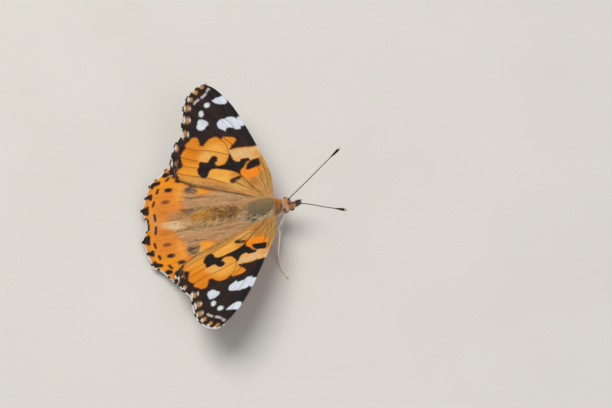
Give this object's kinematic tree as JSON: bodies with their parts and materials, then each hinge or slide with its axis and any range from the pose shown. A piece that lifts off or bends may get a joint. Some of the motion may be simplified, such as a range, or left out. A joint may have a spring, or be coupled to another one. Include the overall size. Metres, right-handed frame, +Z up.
{
  "type": "painted lady butterfly model",
  "caption": "Life-size still model of a painted lady butterfly at rest, wings spread, feelers raised, standing on its legs.",
  "frame": {"origin": "on the floor, under the middle of the whole outline", "axes": "+X towards the head, +Y towards the butterfly's left, along its wingspan, +Z up"},
  "size_m": [0.0446, 0.0612, 0.0171],
  "materials": {
    "wing_scales": "fine matt scales, orange with dark and white marks",
    "thorax_fur": "dense olive-grey hair",
    "abdomen_fur": "dense golden-brown hair",
    "head_fur": "short orange-brown hair",
    "eye": "smooth, slightly glossy, hazel with dark clouds",
    "feeler": "dark, finely ringed",
    "leg_scales": "cream to grey scales"
  },
  "bodies": {
    "root": {"head": "head_fur", "eye_left": "eye", "eye_right": "eye", "palp_left": "head_fur", "palp_right": "head_fur", "proboscis": "feeler", "antenna_left": "feeler", "antenna_right": "feeler", "thorax": "thorax_fur", "abdomen": "abdomen_fur", "forewing_left": "wing_scales", "forewing_right": "wing_scales", "hindwing_left": "wing_scales", "hindwing_right": "wing_scales", "foreleg_left": "leg_scales", "foreleg_right": "leg_scales", "midleg_left": "leg_scales", "midleg_right": "leg_scales", "hindleg_left": "leg_scales", "hindleg_right": "leg_scales"}
  },
  "joints": []
}
